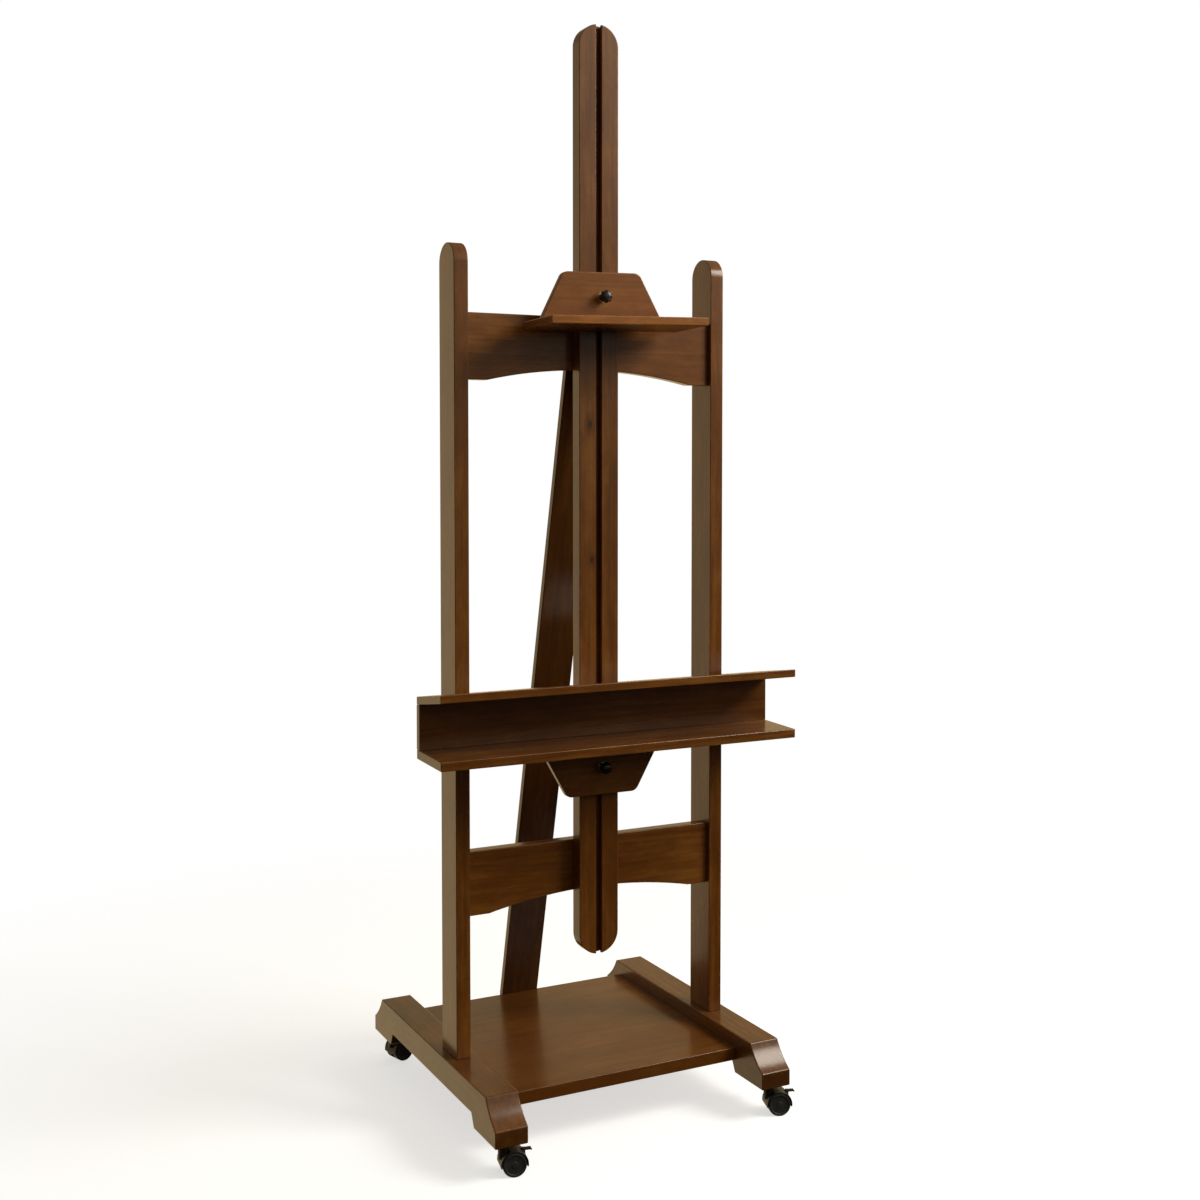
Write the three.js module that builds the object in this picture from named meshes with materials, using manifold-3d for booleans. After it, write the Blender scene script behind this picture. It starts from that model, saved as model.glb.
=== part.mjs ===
// H-frame studio easel: two feet on casters, a base shelf, two uprights with two rails, a sliding mast,
// a canvas tray, an upper canvas holder and a rear strut.
// Millimetres, X to the right, Y to the back, Z up, origin on the floor under the middle of the base.

import * as THREE from 'three';
import { mergeVertices } from 'three/addons/utils/BufferGeometryUtils.js';
import Module from 'manifold-3d';

const wasm = await Module();
wasm.setup();

// ---- Driving dimensions ----

const RUNNING_GAP = 0.3;            // between pieces that slide or turn on each other
const JOINT_GAP = 0.2;              // round a tenon, tongue, dowel or screw

const FOOT = {
  spacing: 629,                     // centre to centre
  width: 72,
  length: 732,
  bottom: 70,
  top: 158,
  underside: 98,                    // raised middle between the two pads
  padLength: 113,
  padSlope: 14,
  chamferRun: 50,
  chamferDrop: 53,
  chamferHollow: 5,                 // depth of the shallow cove cut into each chamfer
};

const UPRIGHT = { spacing: 627, width: 32.5, depth: 85, centreY: -68, top: 1897 };
const UPRIGHT_TENON = { width: 13, depth: 58, length: 40 };

const SHELF = { front: -256, back: 296, top: 128, thickness: 28 };
const SHELF_TONGUE = { length: 10, thickness: 12 };

const RAIL = { front: -98, thickness: 28, archSpan: 496, archRise: 27 };
const RAIL_TENON = { length: 14, thickness: 12, height: 104 };
const CREST = { bottom: 1608, height: 142 };
const LOWER = { bottom: 460, height: 139.5 };

const MAST = { width: 95, thickness: 34, bottom: 346, top: 2378 };
const FRONT_GROOVE = { mouth: 13.4, lipDepth: 8, slotWidth: 22, slotDepth: 8 };
const REAR_SLOT = { mouth: 9, lipDepth: 6, slotWidth: 21.6, slotDepth: 7, endMargin: 40 };

const TRAY = {
  length: 850,
  depth: 137.6,
  topBoard: 17,
  bottomBoard: 19.5,
  back: 16,
  bottomRear: 818,                  // underside of the bottom board where it meets the mast
  bottomFall: 3.5,                  // the bottom board falls this much to its front edge
  topRear: 948,                     // upper face of the top board where it meets the mast
  topRise: 20.6,                    // the top board rises this much to its front edge
};

const PLATE = { thickness: 16, corner: 20 };
const TRAY_PLATE = { wide: 296, height: 113, narrow: 168 };
const HOLDER_PLATE = { wide: 299.8, height: 108.6, narrow: 184, bottom: -54.6 };
const LIP = {
  length: 373,
  depth: 144,
  thickness: 17.4,
  offset: 3.5,                      // to the right of the bolt
  frontTop: -51.2,                  // from the bolt
  rise: 4,                          // the lip rises this much to its front edge
};

const TRAY_BOLT_Z = 766;
const HOLDER_BOLT_Z = 1790;
const HOLDER_ROLL = THREE.MathUtils.degToRad(1.5);   // the holder has settled a little on its bolt
const CREST_BOLT_Z = 1727;
const LOWER_BOLT_Z = 548;

const BOLT = { radius: 4, headWidth: 20, headHeight: 8.4, headThickness: 5.6 };
const WASHER = { radius: 11, bore: 4.4, thickness: 1.6 };
const KNOB = { radius: 14, hub: 8.5, length: 26, boreDepth: 18 };
const DOWEL = { radius: 4, length: 36, spacing: 120 };
const GUIDE_KEY = { depth: 6, height: 44, centreZ: 797 };

const STRUT = { width: 94, thickness: 17, top: 1700, bottom: 100, contact: 1655 };
const SCREW = { radius: 2.2, headRadius: 4.6, headHeight: 3, length: 34, spacing: 44 };
const TOP_SCREW = { z: 1682, seat: 5 };            // seat: from the rail's back face to the screw's head
const FOOT_SCREW = { belowMiddle: 3, seat: 12 };   // seat: from the shelf's back edge to the screw's head

const CASTER = {
  stemInset: 36,                    // from the end of the foot to the stem
  stemOffset: 3.5,                  // from the middle of the foot outwards
  trail: 20,
  wheelRadius: 25,
  wheelWidth: 17,
  webThickness: 7,
  wheelGap: 0.9,                    // between web and wheel
  capThickness: 2.4,                // over the end of the axle
  hoodInner: 26,
  hoodOuter: 28.6,
  hoodLowerEdge: 20,
  bossRadius: 11,
  collar: { radius: 12.5, thickness: 3 },
  stemRadius: 5,
  pinRadius: 4,
  stemLength: 38,
  pinLength: 18,
  axleRadius: 3,
  leverHalfWidth: 5,
  leverNotch: { halfWidth: 6, start: 13.5, bottom: 33 },
};

const ROUND = 28;                   // facets of a wheel
const SMALL_ROUND = 16;             // facets of a bolt or an axle

// ---- Materials ----

const walnut = new THREE.MeshStandardMaterial({ color: 0x4a2f1a, roughness: 0.42, metalness: 0 });
const blackPlastic = new THREE.MeshStandardMaterial({ color: 0x161616, roughness: 0.5, metalness: 0 });
const steel = new THREE.MeshStandardMaterial({ color: 0x9a9a98, roughness: 0.35, metalness: 1 });
const beech = new THREE.MeshStandardMaterial({ color: 0xb98f5c, roughness: 0.6, metalness: 0 });

// ---- Solids: closed geometry to manifold and back ----

function toSolid(geometry) {
  const plain = geometry.clone();
  plain.deleteAttribute('normal');
  plain.deleteAttribute('uv');
  const merged = mergeVertices(plain, 1e-4);
  return new wasm.Manifold(new wasm.Mesh({
    numProp: 3,
    vertProperties: new Float32Array(merged.attributes.position.array),
    triVerts: new Uint32Array(merged.index.array),
  }));
}

function toGeometry(solid) {
  const mesh = solid.getMesh();
  const geometry = new THREE.BufferGeometry();
  geometry.setAttribute('position', new THREE.BufferAttribute(new Float32Array(mesh.vertProperties), 3));
  geometry.setIndex(new THREE.BufferAttribute(new Uint32Array(mesh.triVerts), 1));
  return geometry;
}

function box(x0, x1, y0, y1, z0, z1) {
  const geometry = new THREE.BoxGeometry(x1 - x0, y1 - y0, z1 - z0);
  geometry.translate((x0 + x1) / 2, (y0 + y1) / 2, (z0 + z1) / 2);
  return toSolid(geometry);
}

function extrude(shape, depth, curveSegments = 12) {
  return new THREE.ExtrudeGeometry(shape, { depth, bevelEnabled: false, curveSegments });
}

// A profile drawn in X and Z, from y0 at the front to y1 at the back.
function prismAlongY(shape, y0, y1, curveSegments) {
  const geometry = extrude(shape, y1 - y0, curveSegments);
  geometry.rotateX(Math.PI / 2);
  geometry.translate(0, y1, 0);
  return toSolid(geometry);
}

// A profile drawn in Y and Z, from x0 on the left to x1 on the right.
function prismAlongX(shape, x0, x1, curveSegments) {
  const geometry = extrude(shape, x1 - x0, curveSegments);
  const axes = new THREE.Matrix4().makeBasis(
    new THREE.Vector3(0, 1, 0),
    new THREE.Vector3(0, 0, 1),
    new THREE.Vector3(1, 0, 0),
  );
  geometry.applyMatrix4(axes);
  geometry.translate(x0, 0, 0);
  return toSolid(geometry);
}

function outline(points) {
  return new THREE.Shape(points.map(([a, b]) => new THREE.Vector2(a, b)));
}

// Cylinders along each axis, from one end to the other.
function rodAlongZ(x, y, z0, z1, radius, facets = SMALL_ROUND) {
  const geometry = new THREE.CylinderGeometry(radius, radius, z1 - z0, facets);
  geometry.rotateX(Math.PI / 2);
  geometry.translate(x, y, (z0 + z1) / 2);
  return toSolid(geometry);
}

function rodAlongY(x, z, y0, y1, radius, facets = SMALL_ROUND) {
  const geometry = new THREE.CylinderGeometry(radius, radius, y1 - y0, facets);
  geometry.translate(x, (y0 + y1) / 2, z);
  return toSolid(geometry);
}

// The hole for a wood screw that points forward, from faceY inwards.
function screwHole(x, z, faceY) {
  return rodAlongY(x, z, faceY - SCREW.length, faceY, SCREW.radius + JOINT_GAP, 10);
}

const easel = new THREE.Group();

function addMesh(name, solid, material, parent = easel) {
  const mesh = new THREE.Mesh(toGeometry(solid), material);
  mesh.name = name;
  parent.add(mesh);
  return mesh;
}

// ---- Derived planes ----

const footX = FOOT.spacing / 2;
const footInner = footX - FOOT.width / 2;
const uprightX = UPRIGHT.spacing / 2;
const uprightInner = uprightX - UPRIGHT.width / 2;
const railBack = RAIL.front + RAIL.thickness;
const mastBack = RAIL.front - RUNNING_GAP;
const mastFront = mastBack - MAST.thickness;
const plateBack = mastFront - RUNNING_GAP;
const plateFront = plateBack - PLATE.thickness;
const shelfBottom = SHELF.top - SHELF.thickness;
const shelfMiddle = SHELF.top - SHELF.thickness / 2;
const topSeatY = railBack + TOP_SCREW.seat;
const footSeatY = SHELF.back + FOOT_SCREW.seat;
const footScrewZ = shelfMiddle - FOOT_SCREW.belowMiddle;
const stemX = footX + CASTER.stemOffset;
const stemY = FOOT.length / 2 - CASTER.stemInset;

// ---- Base ----

// Points of the hollow chamfer, from its lower edge to its upper edge.
function hollowChamfer(end) {
  const steps = 6;
  const chord = Math.hypot(FOOT.chamferRun, FOOT.chamferDrop);
  const points = [];
  for (let i = 0; i <= steps; i += 1) {
    const t = i / steps;
    const sag = 4 * FOOT.chamferHollow * t * (1 - t);
    points.push([
      end - FOOT.chamferRun * t - sag * FOOT.chamferDrop / chord,
      FOOT.top - FOOT.chamferDrop * (1 - t) - sag * FOOT.chamferRun / chord,
    ]);
  }
  return points;
}

function footProfile() {
  const end = FOOT.length / 2;
  const padEnd = end - FOOT.padLength;
  const half = [
    [padEnd - FOOT.padSlope, FOOT.underside],
    [padEnd, FOOT.bottom],
    [end, FOOT.bottom],
    ...hollowChamfer(end),
  ];
  const mirrored = half.map(([y, z]) => [-y, z]).reverse();
  return outline([...half, ...mirrored]);
}

function makeFoot(side) {
  const x = side * footX;
  const inner = side * footInner;
  let foot = prismAlongX(footProfile(), x - FOOT.width / 2, x + FOOT.width / 2);
  const mortise = box(
    side * uprightX - UPRIGHT_TENON.width / 2 - JOINT_GAP,
    side * uprightX + UPRIGHT_TENON.width / 2 + JOINT_GAP,
    UPRIGHT.centreY - UPRIGHT_TENON.depth / 2 - JOINT_GAP,
    UPRIGHT.centreY + UPRIGHT_TENON.depth / 2 + JOINT_GAP,
    FOOT.top - UPRIGHT_TENON.length - JOINT_GAP,
    FOOT.top + 1,
  );
  const grooveDepth = side * (SHELF_TONGUE.length + JOINT_GAP);
  const groove = box(
    Math.min(inner - side, inner + grooveDepth),
    Math.max(inner - side, inner + grooveDepth),
    SHELF.front + 20 - JOINT_GAP,
    SHELF.back - 20 + JOINT_GAP,
    shelfMiddle - SHELF_TONGUE.thickness / 2 - JOINT_GAP,
    shelfMiddle + SHELF_TONGUE.thickness / 2 + JOINT_GAP,
  );
  foot = foot.subtract(mortise).subtract(groove);
  for (const end of [-1, 1]) {
    const socketTop = FOOT.bottom + CASTER.stemLength + 2;
    const socketRadius = CASTER.stemRadius + JOINT_GAP;
    foot = foot.subtract(rodAlongZ(side * stemX, end * stemY, FOOT.bottom - 1, socketTop, socketRadius));
  }
  return foot;
}

function makeShelf() {
  const board = box(-footInner, footInner, SHELF.front, SHELF.back, shelfBottom, SHELF.top);
  const tongue = box(
    -footInner - SHELF_TONGUE.length,
    footInner + SHELF_TONGUE.length,
    SHELF.front + 20,
    SHELF.back - 20,
    shelfMiddle - SHELF_TONGUE.thickness / 2,
    shelfMiddle + SHELF_TONGUE.thickness / 2,
  );
  let shelf = board.add(tongue);
  for (const side of [-1, 1]) {
    shelf = shelf.subtract(screwHole(side * SCREW.spacing / 2, footScrewZ, SHELF.back + 1));
  }
  return shelf;
}

addMesh('left_foot', makeFoot(-1), walnut);
addMesh('right_foot', makeFoot(1), walnut);
addMesh('base_shelf', makeShelf(), walnut);

// ---- Uprights and rails ----

function makeUpright(side) {
  const x = side * uprightX;
  const radius = UPRIGHT.depth / 2;
  const profile = new THREE.Shape();
  profile.moveTo(UPRIGHT.centreY - radius, FOOT.top);
  profile.lineTo(UPRIGHT.centreY + radius, FOOT.top);
  profile.lineTo(UPRIGHT.centreY + radius, UPRIGHT.top - radius);
  profile.absarc(UPRIGHT.centreY, UPRIGHT.top - radius, radius, 0, Math.PI, false);
  const post = prismAlongX(profile, x - UPRIGHT.width / 2, x + UPRIGHT.width / 2, 20);
  const tenon = box(
    x - UPRIGHT_TENON.width / 2,
    x + UPRIGHT_TENON.width / 2,
    UPRIGHT.centreY - UPRIGHT_TENON.depth / 2,
    UPRIGHT.centreY + UPRIGHT_TENON.depth / 2,
    FOOT.top - UPRIGHT_TENON.length,
    FOOT.top + 1,
  );
  let upright = post.add(tenon);
  for (const rail of [CREST, LOWER]) {
    upright = upright.subtract(railTenon(rail, JOINT_GAP));
  }
  return upright;
}

// The bar that runs through a rail and ends in its two tenons.
function railTenon(rail, gap) {
  const middleZ = rail.bottom + rail.height / 2;
  const middleY = RAIL.front + RAIL.thickness / 2;
  const reach = uprightInner + RAIL_TENON.length + gap;
  return box(
    -reach,
    reach,
    middleY - RAIL_TENON.thickness / 2 - gap,
    middleY + RAIL_TENON.thickness / 2 + gap,
    middleZ - RAIL_TENON.height / 2 - gap,
    middleZ + RAIL_TENON.height / 2 + gap,
  );
}

function makeRail({ bottom, height }, boltZ) {
  const half = RAIL.archSpan / 2;
  const radius = (half * half + RAIL.archRise * RAIL.archRise) / (2 * RAIL.archRise);
  const centreZ = bottom + RAIL.archRise - radius;
  const startAngle = Math.atan2(bottom - centreZ, -half);
  const endAngle = Math.atan2(bottom - centreZ, half);
  const profile = new THREE.Shape();
  profile.moveTo(-uprightInner, bottom);
  profile.lineTo(-half, bottom);
  profile.absarc(0, centreZ, radius, startAngle, endAngle, true);
  profile.lineTo(uprightInner, bottom);
  profile.lineTo(uprightInner, bottom + height);
  profile.lineTo(-uprightInner, bottom + height);
  const board = prismAlongY(profile, RAIL.front, railBack, 24);
  const inside = uprightInner - 20;
  const middle = box(-inside, inside, RAIL.front - 1, railBack + 1, bottom - 1, bottom + height + 1);
  const tenons = railTenon({ bottom, height }, 0).subtract(middle);
  const boltHole = rodAlongY(0, boltZ, RAIL.front - 1, railBack + 1, BOLT.radius + JOINT_GAP);
  return board.add(tenons).subtract(boltHole);
}

function makeCrestRail() {
  let rail = makeRail(CREST, CREST_BOLT_Z);
  for (const side of [-1, 1]) {
    rail = rail.subtract(screwHole(side * SCREW.spacing / 2, TOP_SCREW.z, railBack + 1));
  }
  return rail;
}

addMesh('left_upright', makeUpright(-1), walnut);
addMesh('right_upright', makeUpright(1), walnut);
addMesh('crest_rail', makeCrestRail(), walnut);
addMesh('lower_rail', makeRail(LOWER, LOWER_BOLT_Z), walnut);

// ---- Rear strut: a flat board from the back edge of the shelf up to the back of the crest rail ----

const strutSlope = (SHELF.back - railBack) / (STRUT.contact - SHELF.top);
const strutAcross = STRUT.thickness * Math.hypot(1, strutSlope);

function makeStrut() {
  const frontAt = (z) => SHELF.back - strutSlope * (z - SHELF.top);
  const profile = outline([
    [SHELF.back, STRUT.bottom],
    [SHELF.back + strutAcross, STRUT.bottom],
    [SHELF.back + strutAcross, SHELF.top],
    [frontAt(STRUT.top) + strutAcross, STRUT.top],
    [railBack, STRUT.top],
    [railBack, STRUT.contact],
    [SHELF.back, SHELF.top],
  ]);
  let strut = prismAlongX(profile, -STRUT.width / 2, STRUT.width / 2);
  for (const side of [-1, 1]) {
    const x = side * SCREW.spacing / 2;
    for (const [z, seat] of [[TOP_SCREW.z, topSeatY], [footScrewZ, footSeatY]]) {
      strut = strut.subtract(rodAlongY(x, z, seat - SCREW.length, seat + 60, SCREW.radius + JOINT_GAP, 10));
      strut = strut.subtract(rodAlongY(x, z, seat, seat + 60, SCREW.headRadius + JOINT_GAP, 12));
    }
  }
  return strut;
}

function makeScrew(x, z, seat) {
  const shank = rodAlongY(x, z, seat - SCREW.length + 4, seat + 1, SCREW.radius, 10);
  const head = rodAlongY(x, z, seat + 0.1, seat + SCREW.headHeight, SCREW.headRadius, 12);
  const reach = SCREW.headRadius + 1;
  const top = seat + SCREW.headHeight;
  const slot = box(x - reach, x + reach, top - 1, top + 1, z - 0.6, z + 0.6);
  return shank.add(head).subtract(slot);
}

addMesh('rear_strut', makeStrut(), walnut);
for (const [side, sideName] of [[-1, 'left'], [1, 'right']]) {
  const x = side * SCREW.spacing / 2;
  addMesh(`strut_top_screw_${sideName}`, makeScrew(x, TOP_SCREW.z, topSeatY), steel);
  addMesh(`strut_foot_screw_${sideName}`, makeScrew(x, footScrewZ, footSeatY), steel);
}

// ---- Mast: half-round ends, a T-groove in front for tray and holder, a T-slot behind for its clamps ----

function makeMast() {
  const radius = MAST.width / 2;
  const profile = new THREE.Shape();
  profile.moveTo(radius, MAST.bottom + radius);
  profile.lineTo(radius, MAST.top - radius);
  profile.absarc(0, MAST.top - radius, radius, 0, Math.PI, false);
  profile.lineTo(-radius, MAST.bottom + radius);
  profile.absarc(0, MAST.bottom + radius, radius, Math.PI, 2 * Math.PI, false);
  const blank = prismAlongY(profile, mastFront, mastBack, 20);
  const low = MAST.bottom - 1;
  const high = MAST.top + 1;
  const grooveLip = mastFront + FRONT_GROOVE.lipDepth;
  const halfMouth = FRONT_GROOVE.mouth / 2;
  const halfSlot = FRONT_GROOVE.slotWidth / 2;
  const frontMouth = box(-halfMouth, halfMouth, mastFront - 1, grooveLip + 1, low, high);
  const frontSlot = box(-halfSlot, halfSlot, grooveLip, grooveLip + FRONT_GROOVE.slotDepth, low, high);
  const rearLow = MAST.bottom + REAR_SLOT.endMargin;
  const rearHigh = MAST.top - REAR_SLOT.endMargin;
  const rearLip = mastBack - REAR_SLOT.lipDepth;
  const rearBottom = rearLip - REAR_SLOT.slotDepth;
  const rearHalfMouth = REAR_SLOT.mouth / 2;
  const rearHalfSlot = REAR_SLOT.slotWidth / 2;
  const rearMouth = box(-rearHalfMouth, rearHalfMouth, rearLip - 1, mastBack + 1, rearLow, rearHigh);
  const rearSlot = box(-rearHalfSlot, rearHalfSlot, rearBottom, rearLip, rearLow, rearHigh);
  return blank.subtract(frontMouth).subtract(frontSlot).subtract(rearMouth).subtract(rearSlot);
}

addMesh('mast', makeMast(), walnut);

// ---- Clamps: a T-headed bolt, a washer and a hand knob ----
// Each is drawn round the Y axis, with the knob towards -Y and y = 0 at the face that the washer lies on.

function makeClampBolt(gripLength) {
  const shank = rodAlongY(0, 0, -WASHER.thickness - 15, gripLength + 1, BOLT.radius);
  const halfWidth = BOLT.headWidth / 2;
  const halfHeight = BOLT.headHeight / 2;
  const headEnd = gripLength + BOLT.headThickness;
  const head = box(-halfWidth, halfWidth, gripLength, headEnd, -halfHeight, halfHeight);
  return shank.add(head);
}

function makeWasher() {
  const disc = rodAlongY(0, 0, -WASHER.thickness, 0, WASHER.radius, 24);
  return disc.subtract(rodAlongY(0, 0, -WASHER.thickness - 1, 1, WASHER.bore));
}

// A round grip with a domed face, on a narrower hub with a blind bore.
function makeKnob() {
  const back = -WASHER.thickness - RUNNING_GAP;
  const face = back - KNOB.length;
  const bore = BOLT.radius + JOINT_GAP;
  const boreEnd = back - KNOB.boreDepth;
  const profile = [
    [0, face],
    [KNOB.radius * 0.45, face + 0.9],
    [KNOB.radius * 0.78, face + 3.4],
    [KNOB.radius * 0.96, face + 7.2],
    [KNOB.radius, face + 11],
    [KNOB.radius * 0.93, face + 15],
    [KNOB.radius * 0.72, face + 18.5],
    [KNOB.hub, face + 20],
    [KNOB.hub, back],
    [bore, back],
    [bore, boreEnd],
    [0, boreEnd],
  ].map(([radius, along]) => new THREE.Vector2(radius, along));
  return toSolid(new THREE.LatheGeometry(profile, 20));
}

// Places the three pieces of a clamp in a group of their own.
function addClamp(prefix, faceY, z, gripLength, facesBack) {
  const clamp = new THREE.Group();
  clamp.position.set(0, faceY, z);
  clamp.rotation.z = facesBack ? Math.PI : 0;
  addMesh(`${prefix}_bolt`, makeClampBolt(gripLength), steel, clamp);
  addMesh(`${prefix}_washer`, makeWasher(), steel, clamp);
  addMesh(`${prefix}_knob`, makeKnob(), blackPlastic, clamp);
  easel.add(clamp);
}

const frontGrip = PLATE.thickness + RUNNING_GAP + FRONT_GROOVE.lipDepth + RUNNING_GAP;
const rearGrip = RAIL.thickness + RUNNING_GAP + REAR_SLOT.lipDepth + RUNNING_GAP;
addClamp('tray_clamp', plateFront, TRAY_BOLT_Z, frontGrip, false);
addClamp('holder_clamp', plateFront, HOLDER_BOLT_Z, frontGrip, false);
addClamp('crest_clamp', railBack, CREST_BOLT_Z, rearGrip, true);
addClamp('lower_clamp', railBack, LOWER_BOLT_Z, rearGrip, true);

// ---- Tray: a channel open to the front, on a plate that is clamped to the mast ----

const trayBack = plateBack;
const trayFront = plateBack - TRAY.depth;
const bottomSlope = TRAY.bottomFall / TRAY.depth;
const topSlope = TRAY.topRise / TRAY.depth;
const bottomUnderside = (y) => TRAY.bottomRear - bottomSlope * (trayBack - y);
const topUpper = (y) => TRAY.topRear + topSlope * (trayBack - y);

function trayBoard(lowAt, highAt, front) {
  const profile = outline([
    [trayBack, lowAt(trayBack)],
    [trayBack, highAt(trayBack)],
    [front, highAt(front)],
    [front, lowAt(front)],
  ].reverse());
  return prismAlongX(profile, -TRAY.length / 2, TRAY.length / 2);
}

// A plate with one narrow and one wide edge; the two corners at the narrow edge are rounded.
function plateProfile({ wide, height, narrow }, wideZ, narrowZ) {
  const flip = Math.sign(narrowZ - wideZ);
  const lean = Math.atan2((wide - narrow) / 2, height);
  const r = PLATE.corner;
  const profile = new THREE.Shape();
  const cut = r * Math.tan((Math.PI / 2 - lean) / 2);
  const cornerX = narrow / 2 - cut;
  const centreZ = narrowZ - flip * r;
  const clockwise = flip < 0;
  profile.moveTo(-wide / 2, wideZ);
  profile.lineTo(wide / 2, wideZ);
  profile.absarc(cornerX, centreZ, r, flip * lean, flip * Math.PI / 2, clockwise);
  profile.absarc(-cornerX, centreZ, r, flip * Math.PI / 2, flip * (Math.PI - lean), clockwise);
  return profile;
}

function dowelAt(x, y, z, gap) {
  const half = DOWEL.length / 2 + gap;
  return rodAlongZ(x, y, z - half, z + half, DOWEL.radius + gap, 12);
}

const plateMiddleY = (plateBack + plateFront) / 2;
const trayPlateTop = bottomUnderside(plateFront) - JOINT_GAP;
const trayDowelZ = trayPlateTop - DOWEL.length / 2 + 12;

function makeTrayBottom() {
  const upper = (y) => bottomUnderside(y) + TRAY.bottomBoard;
  let board = trayBoard(bottomUnderside, upper, trayFront);
  for (const side of [-1, 1]) {
    board = board.subtract(dowelAt(side * DOWEL.spacing / 2, plateMiddleY, trayDowelZ, JOINT_GAP));
  }
  return board;
}

function makeTrayPlate() {
  const profile = plateProfile(TRAY_PLATE, trayPlateTop, trayPlateTop - TRAY_PLATE.height);
  let plate = prismAlongY(profile, plateFront, plateBack, 8);
  for (const side of [-1, 1]) {
    plate = plate.subtract(dowelAt(side * DOWEL.spacing / 2, plateMiddleY, trayDowelZ, JOINT_GAP));
  }
  return plate.subtract(rodAlongY(0, TRAY_BOLT_Z, plateFront - 1, plateBack + 1, BOLT.radius + JOINT_GAP));
}

function makeGuideKey() {
  const half = FRONT_GROOVE.mouth / 2 - RUNNING_GAP;
  const low = GUIDE_KEY.centreZ - GUIDE_KEY.height / 2;
  const high = GUIDE_KEY.centreZ + GUIDE_KEY.height / 2;
  return box(-half, half, plateBack, plateBack + GUIDE_KEY.depth, low, high);
}

const backLow = (y) => bottomUnderside(y) + TRAY.bottomBoard + JOINT_GAP;
const backHigh = (y) => topUpper(y) - TRAY.topBoard - JOINT_GAP;
addMesh('tray_top_board', trayBoard((y) => topUpper(y) - TRAY.topBoard, topUpper, trayFront), walnut);
addMesh('tray_back_board', trayBoard(backLow, backHigh, trayBack - TRAY.back), walnut);
addMesh('tray_bottom_board', makeTrayBottom(), walnut);
addMesh('tray_plate', makeTrayPlate(), walnut);
addMesh('tray_guide_key', makeGuideKey(), beech);
for (const [side, sideName] of [[-1, 'left'], [1, 'right']]) {
  const peg = dowelAt(side * DOWEL.spacing / 2, plateMiddleY, trayDowelZ, 0);
  addMesh(`tray_dowel_${sideName}`, peg, beech);
}

// ---- Upper canvas holder, turned a little on its bolt; its pieces are drawn round the bolt ----

const holder = new THREE.Group();
holder.position.set(0, 0, HOLDER_BOLT_Z);
holder.rotation.y = -HOLDER_ROLL;
easel.add(holder);

const lipSlope = LIP.rise / LIP.depth;
const lipUpper = (y) => LIP.frontTop - lipSlope * (y - plateBack + LIP.depth);
const holderDowelZ = HOLDER_PLATE.bottom + DOWEL.length / 2 - 10;

function makeHolderPlate() {
  const bottom = HOLDER_PLATE.bottom;
  const profile = plateProfile(HOLDER_PLATE, bottom, bottom + HOLDER_PLATE.height);
  let plate = prismAlongY(profile, plateFront, plateBack, 8);
  for (const side of [-1, 1]) {
    plate = plate.subtract(dowelAt(side * DOWEL.spacing / 2, plateMiddleY, holderDowelZ, JOINT_GAP));
  }
  return plate.subtract(rodAlongY(0, 0, plateFront - 1, plateBack + 1, BOLT.radius + JOINT_GAP));
}

function makeHolderLip() {
  const front = plateBack - LIP.depth;
  const profile = outline([
    [front, lipUpper(front) - LIP.thickness],
    [plateBack, lipUpper(plateBack) - LIP.thickness],
    [plateBack, lipUpper(plateBack)],
    [front, lipUpper(front)],
  ]);
  let lip = prismAlongX(profile, LIP.offset - LIP.length / 2, LIP.offset + LIP.length / 2);
  for (const side of [-1, 1]) {
    lip = lip.subtract(dowelAt(side * DOWEL.spacing / 2, plateMiddleY, holderDowelZ, JOINT_GAP));
  }
  return lip;
}

addMesh('holder_plate', makeHolderPlate(), walnut, holder);
addMesh('holder_lip', makeHolderLip(), walnut, holder);
for (const [side, sideName] of [[-1, 'left'], [1, 'right']]) {
  const peg = dowelAt(side * DOWEL.spacing / 2, plateMiddleY, holderDowelZ, 0);
  addMesh(`holder_dowel_${sideName}`, peg, beech, holder);
}

// ---- Casters: twin wheels on a hooded frame that trails behind its stem ----
// Drawn with the stem on the Z axis, the wheels' axle along Y and the trail towards +X.

function makeStem() {
  const collarTop = FOOT.bottom;
  const collarLow = collarTop - CASTER.collar.thickness;
  const collar = rodAlongZ(0, 0, collarLow, collarTop, CASTER.collar.radius, 24);
  const stem = rodAlongZ(0, 0, collarTop - 1, collarTop + CASTER.stemLength, CASTER.stemRadius);
  const pin = rodAlongZ(0, 0, collarLow - CASTER.pinLength, collarLow + 1, CASTER.pinRadius);
  return collar.add(stem).add(pin);
}

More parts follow.
